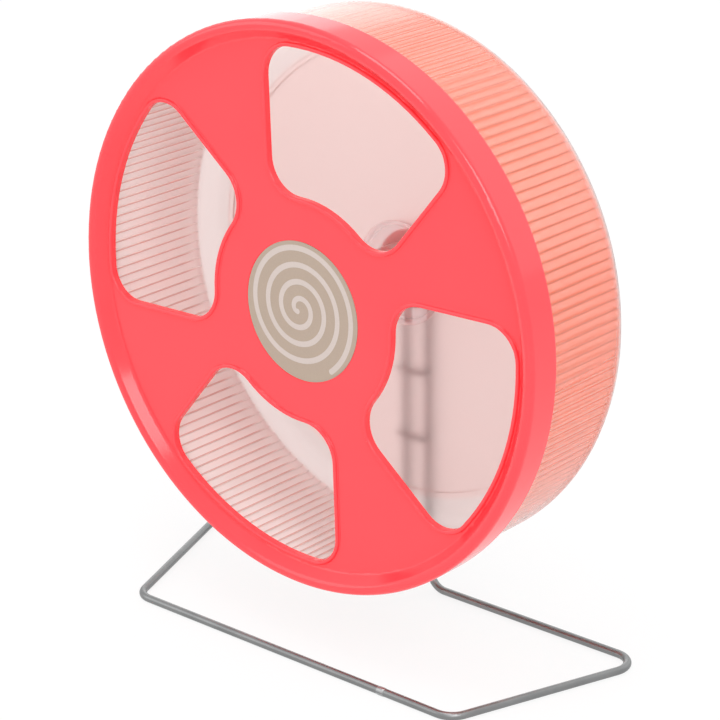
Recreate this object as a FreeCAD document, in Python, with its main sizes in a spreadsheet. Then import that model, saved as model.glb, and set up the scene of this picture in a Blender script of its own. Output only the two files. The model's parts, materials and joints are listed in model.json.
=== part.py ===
"""Rodent exercise wheel on a bent wire stand, as a parametric document in millimetres.

The wheel turns on a single-sided axle. It faces -Y, its axle runs along Y, +Z is up, and the
origin lies on the floor under the middle of the whole depth. Pieces on the axle are drawn in the
axle frame: local Y is the axle, counted from the nose of the rim towards the stand.
"""
import FreeCAD
import Part
import Sketcher

import math
import os

from FreeCAD import Placement, Rotation, Vector

# Driving sizes, in millimetres, degrees and counts
SIZES = {
    # Wheel and where it hangs
    "wheel_radius": 140.0,
    "floor_clearance": 35.6,
    "rest_turn": 18.9,
    # Front cover: dished rim, flat face, skirt
    "cover_wall": 2.2,
    "face_recess": 6.1,
    "nose_round": 3.0,
    "nose_flat": 0.2,
    "slope_width": 4.8,
    "foot_round": 1.6,
    "skirt_depth": 18.3,
    "skirt_wall": 2.0,
    "skirt_step": 2.2,
    "edge_round": 0.6,
    # Windows in the face
    "window_count": 4,
    "window_rim_margin": 3.3,
    "window_inner_radius": 55.9,
    "window_side_angle": 20.4,
    "window_side_offset": 16.8,
    "window_outer_corner": 15.7,
    "window_inner_corner": 17.3,
    "bead_width": 2.0,
    "bead_height": 1.4,
    "bead_round": 0.8,
    "bead_foot": 0.5,
    # Snap lugs that hold the drum in the skirt
    "lug_count": 8,
    "lug_sweep": 5.0,
    "lug_length": 3.0,
    "lug_bite": 0.7,
    # Drum
    "drum_wall": 2.0,
    "drum_fit": 0.2,
    "drum_depth": 81.6,
    "drum_lead": 3.2,
    "flange_length": 2.5,
    "shoulder_round": 12.0,
    "step_margin": 7.6,
    "back_step": 1.2,
    "rib_count": 180,
    "rib_height": 0.7,
    "rib_base": 1.4,
    "rib_top": 0.7,
    "rib_start": 12.0,
    "rib_fade": 4.7,
    # Hub: cup in the back wall, collar and the cover's tube
    "cup_radius": 23.8,
    "cup_depth": 3.2,
    "cup_round": 1.2,
    "collar_wall": 2.0,
    "collar_length": 11.5,
    "hub_tube_wall": 2.0,
    "tube_fit": 0.1,
    "tube_round": 4.0,
    "tube_end_gap": 0.2,
    "axle_hole_lip": 2.0,
    # Ball bearings and the parts on the axle
    "bearing_bore_radius": 4.0,
    "bearing_outer_radius": 11.0,
    "bearing_width": 7.0,
    "bearing_shoulder": 0.8,
    "bearing_setback": 14.5,
    "bearing_inset": 0.8,
    "bearing_fit": 0.02,
    "ball_count": 7,
    "ball_radius": 1.98,
    "ball_path_radius": 7.5,
    "race_clearance": 0.05,
    "ring_land": 1.45,
    "cage_wall": 1.4,
    "cage_width": 5.4,
    "pocket_clearance": 0.1,
    "washer_thickness": 1.6,
    "washer_radius": 6.0,
    "nut_flats": 13.0,
    "nut_height": 8.0,
    "nut_collar": 1.6,
    "bolt_tip": 0.8,
    "bolt_head_height": 5.3,
    "bolt_head_sink": 5.8,
    "hex_clearance": 0.15,
    # Plug and label in the middle of the face
    "plug_lip": 1.0,
    "plug_flange": 1.5,
    "plug_depth": 3.2,
    "label_radius": 34.6,
    "label_thickness": 0.3,
    "label_margin": 0.4,
    # Stand wire
    "wire_radius": 2.0,
    "front_rail_reach": 9.8,
    "front_half_width": 102.8,
    "back_half_width": 140.9,
    "upright_spacing": 14.5,
    "corner_bend": 11.0,
    "foot_bend": 9.0,
    "hairpin_rise": 5.0,
    "cross_wire_radius": 1.25,
    "cross_wire_overhang": 1.0,
    "upper_cross_drop": 54.7,
    "lower_cross_drop": 90.3,
    "weld_gap": 0.02,
    # Axle block clamped on the stand's hairpin
    "block_radius": 20.3,
    "block_gap": 1.2,
    "block_front_half": 8.4,
    "block_rear_half": 9.7,
    "block_round": 2.5,
    "groove_clearance": 0.05,
    "spigot_radius": 6.0,
    "clamp_inset": 6.3,
    "clamp_screw_radius": 2.0,
    "clamp_head_radius": 4.0,
    "clamp_head_height": 3.0,
    "clamp_head_sink": 3.4,
    "clamp_nut_flats": 7.0,
    "clamp_nut_height": 3.2,
    "clamp_clearance": 0.15,
}


class Length:
    """A size as a number and as the sheet expression that drives it."""

    def __init__(self, value, text):
        self.value = value
        self.text = text

    @staticmethod
    def of(other):
        return other if isinstance(other, Length) else Length(other, repr(other))

    def __add__(self, other):
        other = Length.of(other)
        return Length(self.value + other.value, f"({self.text} + {other.text})")

    def __sub__(self, other):
        other = Length.of(other)
        return Length(self.value - other.value, f"({self.text} - {other.text})")

    def __mul__(self, other):
        other = Length.of(other)
        return Length(self.value * other.value, f"({self.text} * {other.text})")

    def __truediv__(self, other):
        other = Length.of(other)
        return Length(self.value / other.value, f"({self.text} / {other.text})")

    def __neg__(self):
        return Length(-self.value, f"(0 - {self.text})")


class Sizes:
    """The sheet's cells by name, each as a Length."""

    def __init__(self, sheet, table):
        for row, (name, value) in enumerate(table.items(), start=1):
            sheet.set(f"A{row}", name)
            sheet.set(f"B{row}", str(value))
            sheet.setAlias(f"B{row}", name)
            setattr(self, name, Length(value, f"{sheet.Name}.{name}"))


doc = FreeCAD.newDocument("exercise_wheel")
sheet = doc.addObject("Spreadsheet::Sheet", "Sizes")
S = Sizes(sheet, SIZES)
doc.recompute()

ZERO = Length(0.0, "0")
NODES = []

# Heights and stations along the axle that several pieces share
axle_height = S.wheel_radius + S.floor_clearance
face_back = S.face_recess + S.cover_wall
label_floor = S.face_recess + S.label_thickness
nose_inner = S.wheel_radius - S.nose_round * 1.5 - S.nose_flat
slope_foot = nose_inner - S.slope_width
window_outer = slope_foot - S.window_rim_margin
skirt_inner = S.wheel_radius - S.skirt_wall
drum_outer = skirt_inner - S.skirt_step - S.drum_fit
drum_inner = drum_outer - S.drum_wall
inner_shoulder = S.shoulder_round - S.drum_wall
step_radius = drum_inner - inner_shoulder - S.step_margin
flange_outer = skirt_inner - S.drum_fit
flange_front = face_back
flange_back = flange_front + S.flange_length
drum_front = flange_front - S.drum_lead
back_inner = S.drum_depth - S.drum_wall
disc_inner = back_inner - S.back_step
disc_outer = S.drum_depth - S.back_step
cup_floor = disc_inner + S.cup_depth
cup_back = cup_floor + S.drum_wall
tube_end = cup_floor - S.tube_end_gap
hub_tube = S.bearing_outer_radius + S.hub_tube_wall
plug_radius = S.bearing_outer_radius + S.plug_lip
front_bearing = S.face_recess + S.bearing_setback
front_bearing_end = front_bearing + S.bearing_width
rear_bearing_end = tube_end - S.bearing_inset
rear_bearing = rear_bearing_end - S.bearing_width
block_front = cup_back + S.block_gap
upright_plane = block_front + S.block_front_half
block_rear = upright_plane + S.block_rear_half
upright_x = S.upright_spacing / 2
clamp_x = S.block_radius - S.clamp_inset
inner_land = S.ball_path_radius - S.ring_land
outer_land = S.ball_path_radius + S.ring_land
nose_y = (S.front_rail_reach + S.wire_radius - block_rear) / 2


def bind(thing, path, length):
    """Drive one property of a document object from the sheet."""
    thing.setExpression(path, length.text)


def keep(thing, label):
    """Name a finished piece and list it for export."""
    thing.Label = label
    NODES.append(thing)


def new_body(label):
    """A body in the axle frame."""
    body = doc.addObject("PartDesign::Body", "Body_" + label)
    bind(body, "Placement.Base.y", nose_y)
    bind(body, "Placement.Base.z", axle_height)
    keep(body, label)
    return body


class Outline:
    """A sketch on one of a body's origin planes, with its points driven from the sheet."""

    def __init__(self, body, name, role, offset=None):
        plane = next(f for f in body.Origin.OriginFeatures if f.Role == role)
        self.sketch = body.newObject("Sketcher::SketchObject", name)
        self.sketch.AttachmentSupport = (plane, [""])
        self.sketch.MapMode = "FlatFace"
        if offset is not None:
            bind(self.sketch, "AttachmentOffset.Base.z", offset)

    def drive(self, length, kind, *where):
        """Add one dimension and bind it to the sheet."""
        index = self.sketch.addConstraint(Sketcher.Constraint(kind, *where, length.value))
        bind(self.sketch, f"Constraints[{index}]", length)

    def fix(self, kind, *where):
        """Add one constraint without a number."""
        self.sketch.addConstraint(Sketcher.Constraint(kind, *where))

    def place(self, geometry, position, x, y):
        """Hold one point of the sketch at the driven coordinates x, y."""
        for length, kind, axis in ((x, "DistanceX", -2), (y, "DistanceY", -1)):
            if length is ZERO:
                self.fix("PointOnObject", geometry, position, axis)
            else:
                self.drive(length, kind, geometry, position)

    def line(self, start, end):
        return self.sketch.addGeometry(Part.LineSegment(start, end), False)

    def arc(self, centre, radius, start, end):
        """Arc drawn anticlockwise between the directions of two points from its centre."""
        first = math.atan2(start.y - centre.y, start.x - centre.x)
        last = math.atan2(end.y - centre.y, end.x - centre.x)
        circle = Part.Circle(centre, Vector(0, 0, 1), radius)
        return self.sketch.addGeometry(Part.ArcOfCircle(circle, first, last), False)

    def polygon(self, corners):
        """Closed outline through driven corners."""
        points = [Vector(x.value, y.value, 0) for x, y in corners]
        lines = [self.line(p, q) for p, q in zip(points, points[1:] + points[:1])]
        for this, following in zip(lines, lines[1:] + lines[:1]):
            self.fix("Coincident", this, 2, following, 1)
        for line, (x, y) in zip(lines, corners):
            self.place(line, 1, x, y)
        return self

    def circle(self, x, y, radius):
        """Circle with a driven centre and radius."""
        centre = Vector(x.value, y.value, 0)
        ring = self.sketch.addGeometry(Part.Circle(centre, Vector(0, 0, 1), radius.value), False)
        self.place(ring, 3, x, y)
        self.drive(radius, "Radius", ring)
        return self

    def hexagon(self, flats, x=ZERO, y=ZERO):
        """Regular hexagon with two flats facing up and down, sized across its flats."""
        half = flats / 2
        reach = flats / math.sqrt(3.0)
        corners = [(reach, ZERO), (reach / 2, half), (-reach / 2, half),
                   (-reach, ZERO), (-reach / 2, -half), (reach / 2, -half)]
        return self.polygon([(cx + x if x is not ZERO else cx,
                              cy + y if y is not ZERO else cy) for cx, cy in corners])


def spin(body, name, outline):
    """Turn a sketch of stations and radii about the axle."""
    feature = body.newObject("PartDesign::Revolution", name)
    feature.Profile = outline.sketch
    feature.ReferenceAxis = (outline.sketch, ["H_Axis"])
    feature.Angle = 360
    return feature


def revolve(body, name, corners, sweep=None):
    """Turn a profile of (station, radius) corners about the axle, or sweep it to both sides."""
    feature = spin(body, name, Outline(body, name + "_profile", "YZ_Plane").polygon(corners))
    if sweep is not None:
        bind(feature, "Angle", sweep)
        feature.Midplane = True
    return feature


def across(body, name, station):
    """A sketch square to the axle at a station along it; its normal points to the front."""
    return Outline(body, name, "XZ_Plane", -station)


def extrude(body, name, outline, length, backwards, cut=False):
    """Pad or pocket a sketch square to the axle, towards the stand if backwards."""
    feature = body.newObject("PartDesign::Pocket" if cut else "PartDesign::Pad", name)
    feature.Profile = outline.sketch
    bind(feature, "Length", length)
    feature.Reversed = backwards != cut
    return feature


def repeat(body, name, feature, count):
    """Repeat a feature evenly about the axle."""
    axle = next(f for f in body.Origin.OriginFeatures if f.Role == "Y_Axis")
    pattern = body.newObject("PartDesign::PolarPattern", name)
    pattern.Originals = [feature]
    pattern.Axis = (axle, [""])
    pattern.Angle = 360
    bind(pattern, "Occurrences", count)
    body.Tip = pattern
    return pattern


def round_edges(body, name, radius, chosen):
    """Fillet the edges of the body's present shape for which chosen(edge) is true."""
    doc.recompute()
    base = body.Tip
    names = [f"Edge{i}" for i, edge in enumerate(base.Shape.Edges, start=1) if chosen(edge)]
    if not names:
        raise ValueError(f"{name}: no edge to round")
    fillet = body.newObject("PartDesign::Fillet", name)
    fillet.Base = (base, names)
    bind(fillet, "Radius", radius)
    return fillet


def on_ring(*rings):
    """Chooser of full circles about the axle, each given by its station and radius."""
    def chosen(edge):
        if not isinstance(edge.Curve, Part.Circle) or abs(edge.Curve.Axis.y) < 0.99:
            return False
        centre = edge.Curve.Center
        return math.hypot(centre.x, centre.z) < 1e-4 and any(
            abs(centre.y - n.value) < 1e-3 and abs(edge.Curve.Radius - r.value) < 1e-3
            for n, r in rings)
    return chosen


def at_station(station, smallest_radius, largest_radius):
    """Chooser of edges that lie square to the axle at a station, between two radii."""
    def chosen(edge):
        box = edge.BoundBox
        middle = edge.valueAt((edge.FirstParameter + edge.LastParameter) / 2)
        radius = math.hypot(middle.x, middle.z)
        return (abs(box.YMin - station.value) < 1e-3 and abs(box.YMax - station.value) < 1e-3
                and smallest_radius.value < radius < largest_radius.value)
    return chosen


def window_outline(body, name, station, grow):
    """Window outline in the face: two arcs about the axle, two straight sides, round corners.

    The outline is grown outwards all round by grow, for the bead about the window.
    """
    outline = across(body, name, station)
    bind(outline.sketch, "AttachmentOffset.Rotation.Angle", -S.rest_turn)
    outer = window_outer + grow
    inner = S.window_inner_radius - grow
    offset = S.window_side_offset + grow
    outer_corner = S.window_outer_corner + grow
    inner_corner = S.window_inner_corner + grow
    slant = math.radians(S.window_side_angle.value)
    along = Vector(math.sin(slant), math.cos(slant), 0)
    square = Vector(math.cos(slant), -math.sin(slant), 0)

    def corner(reach, radius):
        """Centre of a corner arc and where it touches the side, on the right."""
        inset = offset.value - radius
        run = math.sqrt(reach ** 2 - inset ** 2)
        return square * inset + along * run, square * offset.value + along * run

    def mirrored(point):
        return Vector(-point.x, point.y, 0)

    top, side_top = corner(outer.value - outer_corner.value, outer_corner.value)
    low, side_low = corner(inner.value + inner_corner.value, inner_corner.value)
    arc_top = top * (outer.value / top.Length)
    arc_low = low * (inner.value / low.Length)
    centre = Vector(0, 0, 0)
    rim = outline.arc(centre, outer.value, arc_top, mirrored(arc_top))
    left_top = outline.arc(mirrored(top), outer_corner.value, mirrored(arc_top), mirrored(side_top))
    left = outline.line(mirrored(side_top), mirrored(side_low))
    left_low = outline.arc(mirrored(low), inner_corner.value, mirrored(side_low), mirrored(arc_low))
    hub = outline.arc(centre, inner.value, arc_low, mirrored(arc_low))
    right_low = outline.arc(low, inner_corner.value, arc_low, side_low)
    right = outline.line(side_low, side_top)
    right_top = outline.arc(top, outer_corner.value, side_top, arc_top)

    for arc in (rim, hub):
        outline.fix("Coincident", arc, 3, -1, 1)
    for first, end, second, start in ((rim, 2, left_top, 1), (left_top, 2, left, 1),
                                      (left, 2, left_low, 1), (left_low, 2, hub, 2),
                                      (hub, 1, right_low, 1), (right_low, 2, right, 1),
                                      (right, 2, right_top, 1), (right_top, 2, rim, 1)):
        outline.fix("Tangent", first, end, second, start)
    outline.drive(outer, "Radius", rim)
    outline.drive(inner, "Radius", hub)
    outline.drive(outer_corner, "Radius", right_top)
    outline.drive(inner_corner, "Radius", right_low)
    outline.fix("Equal", right_top, left_top)
    outline.fix("Equal", right_low, left_low)
    for side, sign in ((right, 1), (left, -1)):
        outline.drive(offset, "Distance", -1, 1, side)
        lean = Length(90.0, "90") - S.window_side_angle
        turn = math.radians(sign * lean.value)
        index = outline.sketch.addConstraint(Sketcher.Constraint("Angle", side, turn))
        outline.sketch.setExpression(f"Constraints[{index}]", f"{sign} * {lean.text} * 1 deg")
    return outline


# Front cover: dished rim and skirt, flat face with four beaded windows, hub tube for the bearings
def make_front_cover():
    body = new_body("front_cover")
    seat = S.bearing_outer_radius + S.bearing_fit
    bore = S.bearing_outer_radius - S.bearing_shoulder
    plug_bore = plug_radius + S.bearing_fit
    plug_seat = label_floor + S.plug_flange
    label_edge = S.label_radius + S.label_margin
    step = skirt_inner - S.skirt_step
    revolve(body, "shell", [
        (label_floor, plug_bore), (label_floor, label_edge), (S.face_recess, label_edge),
        (S.face_recess, slope_foot), (ZERO, nose_inner), (ZERO, S.wheel_radius),
        (S.skirt_depth, S.wheel_radius), (S.skirt_depth, skirt_inner), (flange_front, skirt_inner),
        (flange_front, step), (S.cover_wall, step), (S.cover_wall, nose_inner),
        (face_back, slope_foot), (face_back, hub_tube), (tube_end, hub_tube),
        (tube_end, seat), (rear_bearing, seat), (rear_bearing, bore), (front_bearing_end, bore),
        (front_bearing_end, seat), (plug_seat, seat), (plug_seat, plug_bore)])
    round_edges(body, "rim_nose", S.nose_round,
                on_ring((ZERO, S.wheel_radius), (ZERO, nose_inner)))
    round_edges(body, "rim_foot", S.foot_round, on_ring((S.face_recess, slope_foot)))
    round_edges(body, "skirt_edge", S.edge_round,
                on_ring((S.skirt_depth, S.wheel_radius), (S.skirt_depth, skirt_inner)))
    round_edges(body, "tube_root", S.tube_round, on_ring((face_back, hub_tube)))

    bead_outline = window_outline(body, "bead_outline", S.face_recess, S.bead_width)
    bead = extrude(body, "bead", bead_outline, S.bead_height, backwards=False)
    repeat(body, "beads", bead, S.window_count)
    bead_top = S.face_recess - S.bead_height
    opening = window_outline(body, "window_outline", bead_top, ZERO)
    window = extrude(body, "window", opening, S.bead_height + S.cover_wall * 2, True, cut=True)
    repeat(body, "windows", window, S.window_count)
    bead_start = S.window_inner_radius - S.bead_width - S.bead_foot
    bead_end = window_outer + S.bead_width + S.bead_foot / 10
    round_edges(body, "bead_edges", S.bead_round, at_station(bead_top, bead_start, bead_end))
    round_edges(body, "bead_feet", S.bead_foot, at_station(S.face_recess, bead_start, bead_end))

    lug_front = flange_back + S.tube_fit
    lug_inner = flange_outer - S.lug_bite
    lug_root = skirt_inner + S.skirt_wall / 4
    lug = revolve(body, "lug", [
        (lug_front, lug_inner), (lug_front + S.lug_length, skirt_inner),
        (lug_front + S.lug_length, lug_root), (lug_front, lug_root)], sweep=S.lug_sweep)
    repeat(body, "lugs", lug, S.lug_count)


# Drum: ribbed running wall, round shoulder, stepped back wall with the hub cup and collar
def make_drum():
    body = new_body("drum")
    collar_inner = hub_tube + S.tube_fit
    collar_outer = collar_inner + S.collar_wall
    collar_front = cup_floor - S.collar_length
    cup_outer = S.cup_radius + S.drum_wall
    axle_hole = S.bearing_outer_radius - S.axle_hole_lip
    outer_step = step_radius - S.drum_wall
    revolve(body, "shell", [
        (drum_front, drum_inner), (drum_front, drum_outer), (flange_front, drum_outer),
        (flange_front, flange_outer), (flange_back, flange_outer), (flange_back, drum_outer),
        (S.drum_depth, drum_outer), (S.drum_depth, outer_step), (disc_outer, outer_step),
        (disc_outer, cup_outer), (cup_back, cup_outer), (cup_back, axle_hole),
        (cup_floor, axle_hole), (cup_floor, collar_inner), (collar_front, collar_inner),
        (collar_front, collar_outer), (cup_floor, collar_outer), (cup_floor, S.cup_radius),
        (disc_inner, S.cup_radius), (disc_inner, step_radius), (back_inner, step_radius),
        (back_inner, drum_inner)])
    round_edges(body, "outer_shoulder", S.shoulder_round, on_ring((S.drum_depth, drum_outer)))
    round_edges(body, "inner_shoulder", inner_shoulder, on_ring((back_inner, drum_inner)))
    round_edges(body, "cup_edges", S.cup_round,
                on_ring((disc_inner, S.cup_radius), (cup_back, cup_outer)))

    root = drum_inner + S.drum_wall / 4
    crest = drum_inner - S.rib_height
    outline = across(body, "rib_outline", S.rib_start).polygon([
        (S.rib_base / 2, root), (-S.rib_base / 2, root),
        (-S.rib_top / 2, crest), (S.rib_top / 2, crest)])
    rib_end = S.drum_depth - S.shoulder_round + S.rib_fade
    rib = extrude(body, "rib", outline, rib_end - S.rib_start, backwards=True)
    repeat(body, "ribs", rib, S.rib_count)


def make_ring(label, start, end, inner, outer):
    """Plain ring about the axle."""
    body = new_body(label)
    revolve(body, "ring", [(start, inner), (start, outer), (end, outer), (end, inner)])
    return body


def make_race_ring(label, start, far, land):
    """Bearing ring with the round race in its land; far is its plain bore or outside radius."""
    body = new_body(label)
    end = start + S.bearing_width
    middle = start + S.bearing_width / 2
    race = S.ball_radius + S.race_clearance
    rise = land.value - S.ball_path_radius.value
    half = math.sqrt(race.value ** 2 - rise ** 2)

    def point(station, radius):
        return Vector(station.value, radius.value, 0)

    outline = Outline(body, "ring_profile", "YZ_Plane")
    race_start = Vector(middle.value - half, land.value, 0)
    race_end = Vector(middle.value + half, land.value, 0)
    wall = outline.line(point(start, far), point(start, land))
    near_land = outline.line(point(start, land), race_start)
    far_land = outline.line(race_end, point(end, land))
    other_wall = outline.line(point(end, land), point(end, far))
    bore = outline.line(point(end, far), point(start, far))
    centre = point(middle, S.ball_path_radius)
    ends = (race_start, race_end) if rise < 0 else (race_end, race_start)
    arc = outline.arc(centre, race.value, *ends)
    first, last = (1, 2) if rise < 0 else (2, 1)
    outline.fix("Coincident", wall, 2, near_land, 1)
    outline.fix("Coincident", near_land, 2, arc, first)
    outline.fix("Coincident", arc, last, far_land, 1)
    outline.fix("Coincident", far_land, 2, other_wall, 1)
    outline.fix("Coincident", other_wall, 2, bore, 1)
    outline.fix("Coincident", bore, 2, wall, 1)
    outline.fix("Horizontal", near_land)
    outline.fix("Horizontal", far_land)
    outline.place(wall, 1, start, far)
    outline.place(wall, 2, start, land)
    outline.place(other_wall, 1, end, land)
    outline.place(other_wall, 2, end, far)
    outline.place(arc, 3, middle, S.ball_path_radius)
    outline.drive(race, "Radius", arc)
    spin(body, "ring", outline)


# Deep-groove ball bearing: two rings with their races, balls in a pocketed cage
def make_bearing(side, start):
    middle = start + S.bearing_width / 2
    make_race_ring(f"{side}_bearing_inner_ring", start, S.bearing_bore_radius, inner_land)
    make_race_ring(f"{side}_bearing_outer_ring", start, S.bearing_outer_radius, outer_land)

    half_wall = S.cage_wall / 2
    half_width = S.cage_width / 2
    cage = make_ring(f"{side}_bearing_cage", middle - half_width, middle + half_width,
                     S.ball_path_radius - half_wall, S.ball_path_radius + half_wall)
    pocket_outline = Outline(cage, "pocket_outline", "XY_Plane")
    pocket_outline.circle(ZERO, middle, S.ball_radius + S.pocket_clearance)
    pocket = extrude(cage, "pocket", pocket_outline, S.ball_path_radius * 2, False, cut=True)
    repeat(cage, "pockets", pocket, S.ball_count)

    balls = []
    for index in range(SIZES["ball_count"]):
        turn = 2 * math.pi * index / SIZES["ball_count"]
        ball = doc.addObject("Part::Sphere", f"{side}_ball")
        bind(ball, "Radius", S.ball_radius)
        bind(ball, "Placement.Base.x", S.ball_path_radius * math.sin(turn))
        bind(ball, "Placement.Base.y", nose_y + middle)
        bind(ball, "Placement.Base.z", axle_height + S.ball_path_radius * math.cos(turn))
        balls.append(ball)
    group = doc.addObject("Part::Compound", f"{side}_balls")
    group.Links = balls
    keep(group, f"{side}_bearing_balls")


# Axle bolt from the back of the block to the lock nut behind the plug, with what it clamps
def make_axle():
    shank = S.bearing_bore_radius - S.bearing_fit
    head_seat = block_rear - S.bolt_head_sink
    nut_back = front_bearing - S.washer_thickness
    nut_front = nut_back - S.nut_height
    tip = nut_front - S.bolt_tip
    tip_radius = shank - S.bolt_tip
    bolt = new_body("axle_bolt")
    revolve(bolt, "shank", [
        (tip, ZERO), (tip, tip_radius), (nut_front, shank),
        (head_seat + S.bolt_head_height / 2, shank), (head_seat + S.bolt_head_height / 2, ZERO)])
    head = across(bolt, "head_outline", head_seat).hexagon(S.nut_flats)
    extrude(bolt, "head", head, S.bolt_head_height, backwards=True)

    nut = new_body("lock_nut")
    collar_back = nut_front + S.nut_collar
    collar_radius = S.nut_flats / 2 - S.bolt_tip
    outline = across(nut, "nut_outline", collar_back).hexagon(S.nut_flats)
    outline.circle(ZERO, ZERO, S.bearing_bore_radius)
    extrude(nut, "hexagon", outline, S.nut_height - S.nut_collar, backwards=True)
    revolve(nut, "collar", [
        (nut_front, S.bearing_bore_radius), (nut_front, collar_radius),
        (collar_back, collar_radius), (collar_back, S.bearing_bore_radius)])

    make_ring("axle_washer", nut_back, front_bearing, S.bearing_bore_radius, S.washer_radius)
    make_ring("bearing_spacer", front_bearing_end, rear_bearing,
              S.bearing_bore_radius, S.washer_radius)


# Plug that closes the hub and the round label stuck over it
def make_plug_and_label():
    plug_back = label_floor + S.plug_depth
    flange_end = label_floor + S.plug_flange
    spigot = S.bearing_outer_radius - S.bearing_fit
    spigot_inner = spigot - S.plug_flange
    plug = new_body("hub_plug")
    revolve(plug, "cap", [
        (label_floor, ZERO), (label_floor, plug_radius),
        (flange_end, plug_radius), (flange_end, spigot), (plug_back, spigot),
        (plug_back, spigot_inner), (flange_end, spigot_inner), (flange_end, ZERO)])
    label = new_body("spiral_label")
    disc = across(label, "disc_outline", S.face_recess).circle(ZERO, ZERO, S.label_radius)
    extrude(label, "disc", disc, S.label_thickness, backwards=True)


def cut_wire_groove(body):
    """Cut the channel for the stand's hairpin into a half of the axle block."""
    below = -S.block_radius * 1.2
    path = across(body, "hairpin_path", upright_plane)
    left, right = Vector(-upright_x.value, 0, 0), Vector(upright_x.value, 0, 0)
    rise, drop = Vector(0, S.hairpin_rise.value, 0), Vector(0, below.value, 0)
    first = path.line(right + drop, right + rise)
    bow = path.arc(rise, upright_x.value, right + rise, left + rise)
    last = path.line(left + rise, left + drop)
    path.fix("Tangent", first, 2, bow, 1)
    path.fix("Tangent", bow, 2, last, 1)
    path.place(first, 1, upright_x, below)
    path.place(bow, 3, ZERO, S.hairpin_rise)
    path.fix("Vertical", first)
    path.drive(below, "DistanceY", last, 2)
    section = Outline(body, "channel_section", "XY_Plane", below)
    section.circle(upright_x, upright_plane, S.wire_radius + S.groove_clearance)
    channel = body.newObject("PartDesign::SubtractivePipe", "channel")
    channel.Profile = section.sketch
    channel.Spine = (path.sketch, ["Edge1", "Edge2", "Edge3"])


def cut_pair(body, name, station, depth, backwards, draw):
    """Cut one pocket on each side of the axle, drawn by draw(outline, x)."""
    for side, x in (("right", clamp_x), ("left", -clamp_x)):
        outline = across(body, f"{name}_{side}_outline", station)
        draw(outline, x)
        extrude(body, f"{name}_{side}", outline, depth, backwards, cut=True)


# Round block in two halves that grips the hairpin and holds the axle bolt
def make_axle_block():
    axle_bore = S.bearing_bore_radius + S.groove_clearance
    hole_radius = S.clamp_screw_radius + S.clamp_clearance
    front = new_body("axle_block_front")
    revolve(front, "half", [
        (rear_bearing_end, axle_bore), (rear_bearing_end, S.spigot_radius),
        (block_front, S.spigot_radius), (block_front, S.block_radius),
        (upright_plane, S.block_radius), (upright_plane, axle_bore)])
    round_edges(front, "front_edge", S.block_round, on_ring((block_front, S.block_radius)))
    cut_wire_groove(front)
    cut_pair(front, "screw_hole", block_front, S.block_front_half, True,
             lambda outline, x: outline.circle(x, ZERO, hole_radius))
    cut_pair(front, "nut_pocket", block_front, S.clamp_nut_height + S.clamp_clearance, True,
             lambda outline, x: outline.hexagon(S.clamp_nut_flats + S.clamp_clearance * 2, x))

    rear = new_body("axle_block_rear")
    revolve(rear, "half", [
        (upright_plane, axle_bore), (upright_plane, S.block_radius),
        (block_rear, S.block_radius), (block_rear, axle_bore)])
    round_edges(rear, "rear_edge", S.block_round, on_ring((block_rear, S.block_radius)))
    cut_wire_groove(rear)
    cut_pair(rear, "screw_hole", block_rear, S.block_rear_half, False,
             lambda outline, x: outline.circle(x, ZERO, hole_radius))
    cut_pair(rear, "head_pocket", block_rear, S.clamp_head_sink, False,
             lambda outline, x: outline.circle(x, ZERO, S.clamp_head_radius + S.clamp_clearance))
    head = across(rear, "bolt_pocket_outline", block_rear)
    head.hexagon(S.nut_flats + S.hex_clearance * 2)
    extrude(rear, "bolt_pocket", head, S.bolt_head_sink, False, cut=True)


def keep_pair(body, label):
    """Keep a piece with its mirror image on the other side of the axle as one group."""
    NODES.remove(body)
    mirror = doc.addObject("Part::Mirroring", label + "_mirror")
    mirror.Source = body
    mirror.Normal = Vector(1, 0, 0)
    group = doc.addObject("Part::Compound", label + "_pair")
    group.Links = [body, mirror]
    keep(group, label)


# Two screws and nuts that clamp the block
def make_clamp_screws():
    head_seat = block_rear - S.clamp_head_sink
    nut_seat = block_front + S.clamp_nut_height + S.clamp_clearance
    screw = new_body("clamp_screw")
    bind(screw, "Placement.Base.x", clamp_x)
    tip = block_front + S.clamp_clearance
    revolve(screw, "screw", [
        (tip, ZERO), (tip, S.clamp_screw_radius), (head_seat, S.clamp_screw_radius),
        (head_seat, S.clamp_head_radius), (head_seat + S.clamp_head_height, S.clamp_head_radius),
        (head_seat + S.clamp_head_height, ZERO)])
    round_edges(screw, "head_edge", S.clamp_head_height / 3,
                on_ring((head_seat + S.clamp_head_height, S.clamp_head_radius)))
    keep_pair(screw, "clamp_screws")

    nut = new_body("clamp_nut")
    bind(nut, "Placement.Base.x", clamp_x)
    outline = across(nut, "nut_outline", nut_seat).hexagon(S.clamp_nut_flats)
    outline.circle(ZERO, ZERO, S.clamp_screw_radius + S.bearing_fit)
    extrude(nut, "hexagon", outline, S.clamp_nut_height, backwards=False)
    keep_pair(nut, "clamp_nuts")


def bent_path(points, bends):
    """Wire of straight runs with a tangent arc of the given radius at each inner point."""
    edges = []
    start = points[0]
    for before, point, after, bend in zip(points, points[1:], points[2:], bends):
        arriving = (point - before).normalize()
        leaving = (after - point).normalize()
        half_turn = arriving.getAngle(leaving) / 2
        reach = bend * math.tan(half_turn)
        into, out = point - arriving * reach, point + leaving * reach
        inwards = (leaving - arriving).normalize()
        middle = point + inwards * (bend / math.cos(half_turn) - bend)
        edges.append(Part.LineSegment(start, into).toShape())
        edges.append(Part.Arc(into, middle, out).toShape())
        start = out
    edges.append(Part.LineSegment(start, points[-1]).toShape())
    return edges


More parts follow.
